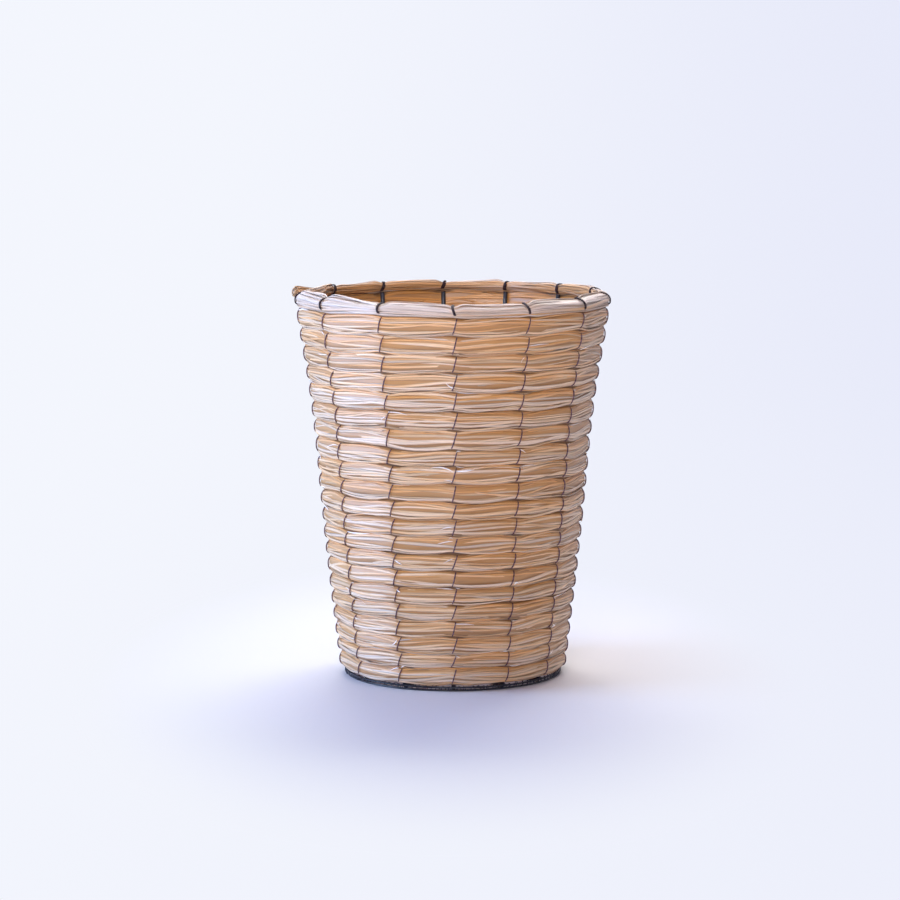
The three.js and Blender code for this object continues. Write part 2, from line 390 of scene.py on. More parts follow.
def straight_reach(angle, corner):
    """Share of its radius at the lashings at which straw passes that runs straight from one to the next.

    In a bay of width w it is cos(w / 2) / cos(m) at the angle m from the bay's middle. The distance d from
    the lashing is eased to the root of d^2 + corner^2, so the straw turns there in a small round.
    """
    left, right = bay_places(angle)
    half = (left + right) / 2
    near = np.minimum(np.hypot(np.minimum(left, right), corner), half)
    return np.cos(half - corner) / np.cos(half - near)


def place(angle, radius, height):
    """Points at a direction, radius and height: x = r sin a, y = -r cos a, z = h."""
    angle, radius, height = np.broadcast_arrays(angle, radius, height)
    return np.stack([radius * np.sin(angle), -radius * np.cos(angle), height], axis=-1)


def sideways(angle):
    """Level direction to the right of a direction: (cos a, sin a, 0)."""
    return np.array([math.cos(angle), math.sin(angle), 0])


def signed_power(value, power):
    """A power of the size of each value, with its sign kept."""
    return np.sign(value) * np.abs(value) ** power


def smooth_step(value):
    """Eased step from 0 to 1: 3 t^2 - 2 t^3 of the value held between 0 and 1."""
    held = np.clip(value, 0, 1)
    return held * held * (3 - 2 * held)


# Meshes


def loft(name, grid, closed, length, values):
    """Mesh of tubes from a grid of points [tube, ring, side].

    Neighbouring rings are joined by four-sided faces. The last ring joins the first when closed, and
    otherwise both end rings are filled. The UV map runs along each tube by its length in metres and once
    round its sides.
    """
    tubes, rings, sides = grid.shape[:3]
    spans = rings if closed else rings - 1
    ids = np.arange(tubes * rings * sides).reshape(tubes, rings, sides)
    near = ids[:, :spans]
    far = np.roll(ids, -1, axis=1)[:, :spans]
    quads = np.stack([near, far, np.roll(far, -1, axis=2), np.roll(near, -1, axis=2)], axis=-1)

    along = np.broadcast_to(length, (tubes, rings + 1))
    here, there = along[:, :spans, None], along[:, 1 : spans + 1, None]
    low = np.arange(sides) / sides
    high = low + 1 / sides
    corners = [(here, low), (there, low), (there, high), (here, high)]
    uv = np.stack([np.stack(np.broadcast_arrays(u, v), axis=-1) for u, v in corners], axis=-2)

    vertex = quads.ravel()
    uv = uv.reshape(-1, 2)
    starts = np.arange(0, len(vertex), 4)
    if not closed:
        caps = np.concatenate([ids[:, 0], ids[:, -1, ::-1]])
        starts = np.concatenate([starts, len(vertex) + np.arange(len(caps)) * sides])
        ends = np.concatenate([along[:, 0], along[:, rings - 1]])
        cap_uv = np.stack(np.broadcast_arrays(ends[:, None], low), axis=-1)
        vertex = np.concatenate([vertex, caps.ravel()])
        uv = np.concatenate([uv, cap_uv.reshape(-1, 2)])

    mesh = bpy.data.meshes.new(name)
    mesh.vertices.add(ids.size)
    mesh.vertices.foreach_set("co", grid.astype(np.float32).ravel())
    mesh.loops.add(len(vertex))
    mesh.loops.foreach_set("vertex_index", vertex.astype(np.int32))
    mesh.polygons.add(len(starts))
    mesh.polygons.foreach_set("loop_start", starts.astype(np.int32))
    mesh.polygons.foreach_set("use_smooth", np.ones(len(starts), bool))
    mesh.update(calc_edges=True)
    mesh.uv_layers.new(name="strip").data.foreach_set("uv", uv.astype(np.float32).ravel())
    for key, value in values.items():
        spread = np.broadcast_to(value, ids.shape).astype(np.float32)
        made = mesh.attributes.new(key, "FLOAT", "POINT")
        if made.name != key:
            raise RuntimeError("The name " + key + " is already taken on " + name)
        made.data.foreach_set("value", spread.ravel())
    return mesh


def path_length(path):
    """Length run along each path of points [tube, ring], with one more step at the end for a closed one."""
    steps = np.linalg.norm(np.diff(path, axis=1, append=path[:, :1]), axis=-1)
    return np.concatenate([np.zeros((len(path), 1)), np.cumsum(steps, axis=1)], axis=1)


def tube(path, guide, radius, sides, closed):
    """Grid of round tubes along paths [tube, ring].

    Each ring lies across the path's direction d. Its first axis is the guide less its part along d, and its
    second is the product of d with the first. The ring's points are the path's plus
    radius times (cos, -sin) on these axes.
    """
    if closed:
        ahead = np.roll(path, -1, axis=1) - np.roll(path, 1, axis=1)
    else:
        ahead = np.gradient(path, axis=1)
    ahead /= np.linalg.norm(ahead, axis=-1, keepdims=True)
    first = guide - (guide * ahead).sum(axis=-1, keepdims=True) * ahead
    first /= np.linalg.norm(first, axis=-1, keepdims=True)
    second = np.cross(ahead, first)
    turn = FULL_TURN * np.arange(sides) / sides
    spoke = np.cos(turn)[:, None] * first[:, :, None] - np.sin(turn)[:, None] * second[:, :, None]
    return path[:, :, None] + np.broadcast_to(radius, path.shape[:2])[:, :, None, None] * spoke


def smooth_path(points, steps):
    """Points of a smooth curve through each row of points [tube, point, value], by the Catmull-Rom cubic.

    Between points b and c, with a before and d after, at share t:
    b + t (c - a) / 2 + t^2 (a - 5 b / 2 + 2 c - d / 2) + t^3 (-a + 3 b - 3 c + d) / 2.
    """
    ends = np.concatenate([points[:, :1], points, points[:, -1:]], axis=1)
    a, b, c, d = (ends[:, i : ends.shape[1] - 3 + i, None] for i in range(4))
    t = (np.arange(steps) / steps)[:, None]
    curve = b + t * (c - a) / 2 + t**2 * (a - 2.5 * b + 2 * c - d / 2) + t**3 * (-a + 3 * b - 3 * c + d) / 2
    curve = curve.reshape(len(points), -1, points.shape[-1])
    return np.concatenate([curve, points[:, -1:]], axis=1)


def add_piece(name, mesh, material, slot, *nodes):
    """Puts a mesh into the scene on the basket's one body, in place of the CAD nodes it stands for."""
    piece = bpy.data.objects.new(name, mesh)
    bpy.context.scene.collection.objects.link(piece)
    mesh.materials.append(material)
    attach(piece, "root")
    if nodes:
        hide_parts(*nodes)


# Finishes


def set_inputs(tree, made, inputs):
    """Sets each named input of a node to a value, or links it where the value is a socket."""
    for key, value in inputs.items():
        if isinstance(value, bpy.types.NodeSocket):
            tree.links.new(value, made.inputs[key])
        else:
            made.inputs[key].default_value = value


def node(tree, kind, inputs, **settings):
    """Adds a shader node with its settings and inputs."""
    made = tree.nodes.new("ShaderNode" + kind)
    for key, value in settings.items():
        setattr(made, key, value)
    set_inputs(tree, made, inputs)
    return made


def calc(tree, operation, *values, clamp=False):
    """Result of a math node on values and sockets."""
    return node(tree, "Math", dict(enumerate(values)), operation=operation, use_clamp=clamp).outputs[0]


def scaled(tree, where, scale):
    """A place scaled along each axis."""
    return node(tree, "Mapping", {"Vector": where, "Scale": scale}).outputs[0]


def dimmed(tree, colour, level):
    """A colour times a level."""
    return node(tree, "VectorMath", {0: colour, "Scale": level}, operation="SCALE").outputs[0]


def noise(tree, where, scale=1.0, *, detail):
    """Smooth noise between zero and one."""
    return node(tree, "TexNoise", {"Vector": where, "Scale": scale, "Detail": detail}).outputs["Fac"]


def ranged(tree, value, start, end, low=0.0, high=1.0, ease="LINEAR"):
    """A value taken from between start and end to between low and high, and held there."""
    limits = {"Value": value, "From Min": start, "From Max": end, "To Min": low, "To Max": high}
    return node(tree, "MapRange", limits, interpolation_type=ease).outputs["Result"]


def bumped(tree, height, strength, distance):
    """Normal of a surface with small bumps."""
    inputs = {"Height": height, "Strength": strength, "Distance": distance}
    return node(tree, "Bump", inputs).outputs["Normal"]


def carried(tree, name):
    """Value that the mesh carries at its points under a name."""
    return node(tree, "Attribute", {}, attribute_name=name).outputs["Fac"]


def strip_map(tree):
    """Place along a tube in metres and round it in turns."""
    return node(tree, "UVMap", {}, uv_map="strip").outputs["UV"]


def split(tree, vector):
    """The three parts of a vector, by the names X, Y and Z."""
    return node(tree, "SeparateXYZ", {"Vector": vector}).outputs


def own_place(tree):
    """Place in the object's own coordinates."""
    return node(tree, "TexCoord", {}).outputs["Object"]


def finish(name):
    """New node material, with its tree and its main shader."""
    material = bpy.data.materials.new(name)
    material.use_nodes = True
    return material, material.node_tree, material.node_tree.nodes["Principled BSDF"]


def blend_colours(tree, share, stops):
    """Colour ramp through (place, colour) stops, driven by a share."""
    ramp = node(tree, "ValToRGB", {"Fac": share})
    points = ramp.color_ramp.elements
    while len(points) < len(stops):
        points.new(0.5)
    for point, (where, colour) in zip(points, stops):
        point.position = where
        point.color = (*colour, 1)
    return ramp.outputs["Color"]


def straw_finish(name, colours, tone_shift):
    """Dried straw, on the strips' UV map, with the colours from the palest to the deepest.

    The shade is the mesh's tone, which also holds painted shade and sheen, plus fibre and patch noise by
    their weights, plus a shift, and it picks a colour on an even ramp. The light that multiplies it is a
    base, plus weights times the square of the strip's own number, the fibre, and |cos 2 pi v| for v round the
    strip, which is painted shade that darkens the strip's edges.
    """
    material, tree, shader = finish(name)
    own = carried(tree, "own")
    parts = split(tree, strip_map(tree))
    apart = calc(tree, "MULTIPLY", own, STRIPS_APART)
    where = node(tree, "CombineXYZ", {"X": parts["X"], "Y": parts["Y"], "Z": apart}).outputs[0]
    fibre = noise(tree, scaled(tree, where, FIBRE_SCALE), detail=3)
    patch = noise(tree, scaled(tree, where, PATCH_SCALE), detail=1)

    shade = calc(tree, "MULTIPLY_ADD", fibre, FIBRE_TONE, carried(tree, "tone"))
    shade = calc(tree, "MULTIPLY_ADD", patch, PATCH_TONE, shade)
    shade = calc(tree, "ADD", shade, tone_shift, clamp=True)
    hue = blend_colours(tree, shade, list(zip(np.linspace(0, 1, len(colours)), colours)))

    # Painted shade: each strip darker towards its edges than on its face
    edge_shade = calc(tree, "ABSOLUTE", calc(tree, "COSINE", calc(tree, "MULTIPLY", parts["Y"], FULL_TURN)))
    light = calc(tree, "MULTIPLY_ADD", calc(tree, "POWER", own, 2.0), STRIP_LIGHT, BASE_LIGHT)
    light = calc(tree, "MULTIPLY_ADD", fibre, FIBRE_LIGHT, light)
    light = calc(tree, "MULTIPLY_ADD", edge_shade, PAINTED_EDGE_SHADE, light)
    looks = {
        "Base Color": dimmed(tree, hue, light),
        "Roughness": ranged(tree, fibre, *NOISE_MIDDLE, *STRAW_ROUGHNESS),
        "Normal": bumped(tree, fibre, *STRAW_BUMP),
        "Tangent": node(tree, "Tangent", {}, direction_type="UV_MAP", uv_map="strip").outputs[0],
    }
    set_inputs(tree, shader, looks | STRAW_GLOSS)
    return material


def wire_finish(name, colour):
    """Black lacquer on wire, with small dull scuffs."""
    material, tree, shader = finish(name)
    where = own_place(tree)
    wear = noise(tree, where, WIRE_WEAR, detail=4)
    worn = tuple(min(1, WORN_GAIN * value + WORN_LIFT) for value in colour)
    looks = {
        "Base Color": blend_colours(tree, wear, list(zip(WEAR_SPAN, (colour, worn)))),
        "Roughness": ranged(tree, wear, *NOISE_MIDDLE, *WIRE_ROUGHNESS),
        "Normal": bumped(tree, noise(tree, where, WIRE_GRAIN, detail=3), *WIRE_BUMP),
    }
    set_inputs(tree, shader, looks)
    return material


def thread_finish(name, colour):
    """Waxed two-ply thread: slanting plies with painted shade between them and a painted highlight on their
    backs, and darker where it is tied.
    """
    material, tree, shader = finish(name)
    parts = split(tree, scaled(tree, strip_map(tree), PLY_SCALE))
    ply = calc(tree, "PINGPONG", calc(tree, "ADD", parts["X"], parts["Y"]), 1.0)
    # Painted shade between the plies and painted highlight on their backs
    darker = tuple(PLY_PAINTED_SHADE * value for value in colour)
    lighter = tuple(min(1, PLY_PAINTED_HIGHLIGHT * value) for value in colour)
    shade = blend_colours(tree, ply, [(0.0, darker), (PLY_MIDDLE, colour), (1.0, lighter)])
    dim = calc(tree, "MULTIPLY_ADD", carried(tree, "tied"), TIED_DIMMING, 1.0)
    looks = {"Base Color": dimmed(tree, shade, dim), "Normal": bumped(tree, ply, *THREAD_BUMP)}
    set_inputs(tree, shader, looks | THREAD_GLOSS)
    return material


# Settings


def length_setting(name, description, millimetres):
    """Length, with its default in millimetres."""
    return FloatProperty(name=name, description=description, default=millimetres * MM, unit="LENGTH")


def angle_setting(name, description, degrees):
    """Angle, with its default in degrees."""
    return FloatProperty(name=name, description=description, default=math.radians(degrees), subtype="ANGLE")


def share_setting(name, description, share):
    """Share of another measure."""
    return FloatProperty(name=name, description=description, default=share, subtype="FACTOR")


def power_setting(name, description, watts):
    """Power of a light."""
    return FloatProperty(name=name, description=description, default=watts, unit="POWER")


def count_setting(name, description, count, least):
    """Whole number with a lowest value."""
    return IntProperty(name=name, description=description, default=count, min=least)


def colour_setting(name, description, colour):
    """Colour as red, green and blue."""
    limits = {"min": 0, "max": 1}
    return FloatVectorProperty(name=name, description=description, default=colour, subtype="COLOR", **limits)


class BasketStraw(PropertyGroup):
    """Sizes and colours of the straw rows."""

    strips: count_setting("Strips", "Strips side by side round one row", 30, 6)
    strip_width: length_setting("Strip Width", "Mean width of a straw strip", 1.9)
    strip_thickness: length_setting("Strip Thickness", "Thickness of a straw strip", 0.6)
    wander: angle_setting("Wander", "How far a strip strays round its bundle", 15)
    roll: angle_setting("Roll", "How far a strip leans on its neighbours", 11)
    twist: angle_setting("Twist", "How far a strip turns over here and there", 10)
    straggle: length_setting("Straggle", "How far a strip strays up or down from its place", 0.55)
    gather_length: length_setting("Gather Length", "Length drawn in beside a lashing", 9.0)
    gather: share_setting("Gather", "Share of its height that a row loses at a lashing", 0.15)
    tilt: share_setting("Tilt", "How far the outside of a row sinks for its depth", 0.18)
    tuck: share_setting("Tuck", "How far a row's top goes in under the next for its height", 0.06)
    back_rise: length_setting("Back Rise", "How much higher the top row stands at the back", 4.0)
    fullness: length_setting("Fullness", "How far a bundle swells between its lashings", 0.5)
    press: length_setting("Press", "How far a row presses into its neighbours", 0.35)
    corner: length_setting("Corner", "Length of the round turn at a lashing", 2.5)
    bay_rise: length_setting("Bay Rise", "Height that a row climbs from one lashing to the next", 1.5)
    unevenness: length_setting("Unevenness", "Hand-made wander of the lines between rows", 0.55)
    pale: colour_setting("Pale", "Palest straw", (0.54, 0.40, 0.285))
    golden: colour_setting("Golden", "Most of the straw", (0.575, 0.38, 0.21))
    # Deep straw also serves as painted shade: the painted band puts it on the rows' tops
    deep: colour_setting("Deep", "Orange straw of the rows' tops", (0.52, 0.26, 0.09))
    # Brown is random dark straw and also the painted shade inside the basket
    brown_and_inside_shade: colour_setting("Brown", "Darkest straw, most of it inside", (0.44, 0.20, 0.045))
    # Painted highlight: pale slivers stand for strip edges that catch the light
    sliver_highlight: colour_setting("Sliver", "Loose slivers", (0.90, 0.83, 0.78))
    # Painted light: a row's top is deeper in tone as painted shade, and its foot paler as painted sheen
    painted_light_band: share_setting("Band", "How much deeper in tone a row's top is than its foot", 0.24)
    slivers: count_setting("Slivers", "Loose slivers round the basket", 190, 1)
    seed: IntProperty(name="Seed", description="Start of the random numbers", default=21)


class BasketRim(PropertyGroup):
    """Sizes and colours of the rim bundle."""

    strips: count_setting("Strips", "Strips side by side round the rim", 40, 6)
    bay_drop: length_setting("Bay Drop", "Height that the rim's top loses from one tie to the next", 1.8)
    rise: length_setting("Rise", "How much higher than its solid the rim stands at the sides and back", 1.3)
    front_dip: length_setting("Front Dip", "How much lower the rim is in front", 3.4)
    tilt: share_setting("Tilt", "How far the outside of the rim sinks for its depth", 0.35)
    # Painted light: below zero, so the rim's top is paler as a painted highlight
    painted_light_band: share_setting("Band", "How much deeper in tone the rim's top is than its foot", -0.25)
    tie_notch: length_setting("Tie Notch", "Depth that a tie presses into the rim", 0.9)
    tip_lift: length_setting("Tip Lift", "How far the outer end of the rim stands up", 3.0)
    tip_flare: length_setting("Tip Flare", "How far the outer end of the rim stands out", 8.0)
    pale: colour_setting("Pale", "Palest straw", (0.54, 0.44, 0.375))
    golden: colour_setting("Golden", "Most of the straw", (0.47, 0.36, 0.28))
    # The rim's darkest straw is also its painted shade inside the basket
    deep: colour_setting("Deep", "Darkest straw", (0.46, 0.25, 0.10))


class BasketWire(PropertyGroup):
    """Sizes and colour of the black wire."""

    stay_diameter: length_setting("Stay Diameter", "Thickness of an upright stay", 3.2)
    tuck: length_setting("Tuck", "How far a stay's end goes up under the rim", 3.5)
    bend: length_setting("Bend", "Radius of the bend at the foot of a stay", 2.4)
    waver: length_setting("Waver", "How far a hand-bent wire strays", 0.25)
    colour: colour_setting("Colour", "Black lacquer", (0.010, 0.011, 0.017))


class BasketThread(PropertyGroup):
    """Sizes and colours of the thread."""

    diameter: length_setting("Diameter", "Thickness of the thread", 0.88)
    slant: length_setting("Slant", "Side step of a stitch from foot to top", 3.0)
    tie_slant: length_setting("Tie Slant", "Side step of a rim tie from top to foot", 2.4)
    tie_loops: count_setting("Tie Loops", "Turns of thread over the rim at a stay", 2, 1)
    foot_stitches: count_setting("Foot Stitches", "Turns of thread round the foot", 120, 1)
    foot_thickness: length_setting("Foot Thickness", "Thickness of the thread round the foot", 0.5)
    colour: colour_setting("Colour", "Dark waxed thread", (0.135, 0.072, 0.085))
    foot_colour: colour_setting("Foot Colour", "Thread round the foot", (0.020, 0.021, 0.045))


class BasketStage(PropertyGroup):
    """Floor, light and camera."""

    floor_colour: colour_setting("Floor Colour", "Pale floor near the basket", (0.86, 0.835, 0.855))
    backdrop_left: colour_setting("Backdrop Left", "Tone of the backdrop at the left", (0.90, 0.92, 0.985))
    backdrop_right: colour_setting("Backdrop Right", "Tone of the backdrop at the right", (0.80, 0.82, 0.95))
    room_colour: colour_setting("Room Colour", "Tone of the room in front of the basket", (0.42, 0.43, 0.48))
    camera_distance: length_setting("Camera Distance", "From the basket's axis", 2060)
    camera_height: length_setting("Camera Height", "Above the floor", 405)
    camera_side: length_setting("Camera Side", "To the right of the axis", -2)
    camera_pitch: angle_setting("Camera Pitch", "How far the camera looks down", 6.84)
    focal_length: FloatProperty(name="Focal Length", description="Of the lens, in millimetres", default=117.6)
    left_power: power_setting("Left Power", "Low soft light at the left", 28)
    back_left_power: power_setting("Back Left Power", "Low soft light behind at the left", 2.0)
    front_power: power_setting("Front Power", "Narrow soft light in front, on the upper rows", 0.95)
    overhead_power: power_setting("Overhead Power", "Soft light overhead", 7.5)
    back_power: power_setting("Back Power", "Wide soft light behind", 32)
    room_light: FloatProperty(name="Room Light", description="Light from all round", default=0.10)
    fade_start: length_setting("Fade Start", "Where the floor starts to fade to the backdrop", 90)
    fade_end: length_setting("Fade End", "Where only the backdrop's tone is left", 260)


# Straw

# A bundle: directions, half depth and height, radius and level of its middle, how far it leans out as it
# rises and sinks as it goes out, and how far it is drawn in
Bundle = namedtuple("Bundle", "angle depth height radius level lean tilt drawn")


def frontness(angle):
    """Cos^2 of the angle from the front: one in front, and zero from the sides to the back."""
    return np.maximum(np.cos(angle), 0) ** 2


def row_lines(straw, angle):
    """Heights round the basket of the lines between rows, from the lowest foot to the highest top.

    Each is the height between two neighbouring solids, plus the bay's saw-tooth and a slow wave of its own.
    The top line also rises to the back by the square of (1 - cos a) / 2.
    """
    rng = np.random.default_rng(straw.seed)
    between = (ROW_HIGH[:-1] + ROW_LOW[1:]) / 2
    level = np.concatenate([ROW_LOW[:1], between, ROW_HIGH[-1:]])
    saw = bay_saw(angle, ROW_MIDDLE.mean())
    strength = np.linspace(FOOT_SAW, 1, len(level))[:, None]
    wave = waves(rng, len(level), angle, LINE_WAVES)
    wave[[0, -1]] *= END_WAVE
    heights = level[:, None] + straw.bay_rise * strength * saw + straw.unevenness * wave
    heights[-1] += straw.back_rise * (0.5 - 0.5 * np.cos(angle)) ** 2
    return heights


def rim_top(rim, angle):
    """Height of the rim's top round the basket, lower in front."""
    return RIM_HIGH + rim.rise - rim.front_dip * frontness(angle)


def drawn_in(angle, radius, length):
    """How far a bundle is drawn in, 1 at a lashing: exp(-(d / length)^2) for distance d along the bundle."""
    left, right = bay_places(angle)
    return np.exp(-((np.minimum(left, right) * radius / length) ** 2))


def strip_grid(rng, straw, bundle, strips, painted_light_band):
    """Points of flat strips that run side by side as one bundle, and the own number and the tone of each.

    The bundle's section is out = depth |cos t|^p, up = height |sin t|^p with signs. Strip i rides at
    t = 2 pi i / n plus a stray that runs straight from lashing to lashing, and another moves it up or down.
    Its own section is a thin ellipse, bent round the bundle and rolled about its middle. The whole section
    then leans out by lean times up, and sinks outwards by tilt times out. The last tube is the bundle's
    core, which isn't gathered at the lashings: its section is CORE_DEPTH of the depth and CORE_HEIGHT of
    the free height. The tone is random, plus painted_light_band times tanh of the height above BAND_HEIGHT,
    which is painted shade at a row's top and painted sheen at its foot, and deeper on the inside of the
    basket as painted shade. The core's tone is painted shade too.
    """
    angle, depth, height, radius, level, lean, tilt, drawn = bundle
    order = np.arange(strips)[:, None]
    turn = FULL_TURN * (order + rng.uniform(-STRIP_SPACING, STRIP_SPACING, (strips, 1))) / strips
    turn = turn + straw.wander * strays(rng, strips, angle)
    thickness = straw.strip_thickness
    lift = rng.uniform(*STRIP_LIFT, (strips, 1)) + STRIP_LIFT_STRAY * strays(rng, strips, angle)
    lift = thickness * lift
    lift = lift - drawn * np.maximum(lift, 0)
    roll = straw.roll * strays(rng, strips, angle)
    roll = roll + straw.twist * (waves(rng, strips, angle, TWIST_WAVES) / TWIST_SPREAD) ** 3
    width = straw.strip_width * rng.uniform(*STRIP_WIDTHS, (strips, 1)) * (1 - NARROWING * drawn)

    cos, sin = np.cos(turn), np.sin(turn)
    out = (depth - thickness / 2 + lift) * signed_power(cos, SECTION_FULLNESS)
    up = (height - thickness / 2 + lift) * signed_power(sin, SECTION_FULLNESS)
    up = up + straw.straggle * strays(rng, strips, angle) * (1 - STRAGGLE_HELD * drawn)
    face_out = signed_power(cos, 2 - SECTION_FULLNESS) / depth
    face_up = signed_power(sin, 2 - SECTION_FULLNESS) / height
    facing = np.arctan2(face_up, face_out) + roll

    side = FULL_TURN * np.arange(STRIP_SIDES) / STRIP_SIDES
    across = width[..., None] / 2 * np.sin(side)
    proud = thickness / 2 * np.cos(side) - STRIP_BOW * across**2
    cos_face, sin_face = np.cos(facing)[..., None], np.sin(facing)[..., None]
    out = out[..., None] + cos_face * proud - sin_face * across
    up = up[..., None] + sin_face * proud + cos_face * across

    core_side = side + np.pi / STRIP_SIDES
    core_out = CORE_DEPTH * depth[:, None] * signed_power(np.cos(core_side), SECTION_FULLNESS)
    core_up = CORE_HEIGHT * height[:, None] / (1 - straw.gather * drawn[:, None])
    core_up = core_up * signed_power(np.sin(core_side), SECTION_FULLNESS)
    out = np.concatenate([out, core_out[None]])
    up = np.concatenate([up, core_up[None]])
    grid = place(angle[:, None], radius[:, None] + out + lean * up, level[:, None] + up - tilt * out)

    own = np.append(rng.uniform(size=strips), 1.0)
    # Painted light: the band deepens a row's top as painted shade and pales its foot as painted sheen
    tone = rng.normal(0.5, TONE_SPREAD, (strips, 1)) + painted_light_band * np.tanh(BAND_SHARPNESS * (sin - BAND_HEIGHT))
    # The inside half of each bundle is deeper in tone: painted shade inside the basket
    tone = tone + TONE_STRAY * strays(rng, strips, angle) + PAINTED_INSIDE_SHADE * np.maximum(-cos, 0)
    # The core's tone is painted shade, seen in the gaps between strips
    tone = np.concatenate([tone, np.full((1, len(angle)), PAINTED_CORE_SHADE)])
    return grid, own[:, None, None], tone[:, :, None]


class BASKET_OT_weave_rows(Operator):
    """Weaves the rows of straw strips."""

    bl_idname = "basket.weave_rows"
    bl_label = "Weave Rows"

    def execute(self, context):
        straw = context.scene.basket_straw
        angle = hoop_stations()
        lines = row_lines(straw, angle)
        colours = [tuple(straw.pale), tuple(straw.golden), tuple(straw.deep), tuple(straw.brown_and_inside_shade)]
        material = straw_finish("golden_straw", colours, ROW_TONE_SHIFT)
        for row, name in enumerate(ROW_NODES):
            rng = np.random.default_rng([straw.seed, row])
            middle = ROW_MIDDLE[row]
            drawn = drawn_in(angle, middle, straw.gather_length)
            bundle = Bundle(
                angle,
                depth=ROW_HALF_DEPTH[row] + straw.fullness * (1 - drawn),
                height=(lines[row + 1] - lines[row]) / 2 * (1 - straw.gather * drawn) + straw.press,
                radius=middle * straight_reach(angle, straw.corner / middle),
                level=(lines[row + 1] + lines[row]) / 2,
                lean=ROW_LEAN[row] - straw.tuck,
                tilt=straw.tilt + TOP_ROW_TILT * (row == len(ROW_NODES) - 1),
                drawn=drawn,
            )
            grid, own, tone = strip_grid(rng, straw, bundle, straw.strips, straw.painted_light_band)
            length = np.append(angle - angle[0], FULL_TURN) * middle
            mesh = loft("straw_" + name, grid, True, length, {"own": own, "tone": tone})
            add_piece("straw_" + name, mesh, material, "straw", name)
        return {"FINISHED"}


class BASKET_OT_bind_rim(Operator):
    """Lays the rim bundle, with its ends side by side in the widest bay."""

    bl_idname = "basket.bind_rim"
    bl_label = "Bind Rim"

    def execute(self, context):
        straw = context.scene.basket_straw
        rim = context.scene.basket_rim
        rng = np.random.default_rng([straw.seed, RIM_STREAM])
        widest = np.argmax(np.diff(BAY_BOUNDS))
        seam = BAY_BOUNDS[widest : widest + 2].mean()
        angle = np.linspace(seam - RIM_LAP / 2, seam + FULL_TURN + RIM_LAP / 2, RIM_STATIONS)
        since, until = angle - angle[0], angle[-1] - angle

        full = RIM_HALF_DEPTH + straw.fullness
        tucked = 1 - smooth_step((since - RIM_LAP) / LAP_EASE + 0.5)
        outer = 1 - smooth_step((until - RIM_LAP) / LAP_EASE + 0.5)
        tip = smooth_step(1 - until / RIM_LAP) ** 2
        drawn = drawn_in(angle, RIM_MIDDLE, TIE_NOTCH_LENGTH)

        low = row_lines(straw, angle)[-1]
        high = rim_top(rim, angle) - rim.bay_drop * bay_saw(angle, RIM_MIDDLE) - rim.tie_notch * drawn
        high = high + RIM_WAVE * waves(rng, 1, angle, RIM_WAVES)[0]
        radius = RIM_MIDDLE * straight_reach(angle, straw.corner / RIM_MIDDLE)
        bundle = Bundle(
            angle,
            depth=full * (1 - END_HALVING * np.maximum(tucked, outer)) - straw.fullness * drawn,
            height=(high - low) / 2 * (1 - END_THINNING * outer),
            radius=radius + full / 2 * (outer - tucked) + rim.tip_flare * tip,
            level=(low + high) / 2 + rim.tip_lift * tip,
            lean=0.0,
            tilt=rim.tilt,
            drawn=drawn,
        )
        grid, own, tone = strip_grid(rng, straw, bundle, rim.strips, rim.painted_light_band)
        length = np.append(since, since[-1]) * RIM_MIDDLE
        cut = smooth_step(1 - np.minimum(since, until) * RIM_MIDDLE / CUT_LENGTH)
        shades = {"own": own, "tone": tone + CUT_TONE * cut[None, :, None]}
        mesh = loft("straw_rim", grid, False, length, shades)
        colours = [tuple(rim.pale), tuple(rim.golden), tuple(rim.deep)]
        material = straw_finish("pale_straw", colours, RIM_TONE_SHIFT)
        add_piece("straw_rim", mesh, material, "rim_straw", "rim_bundle")
        return {"FINISHED"}


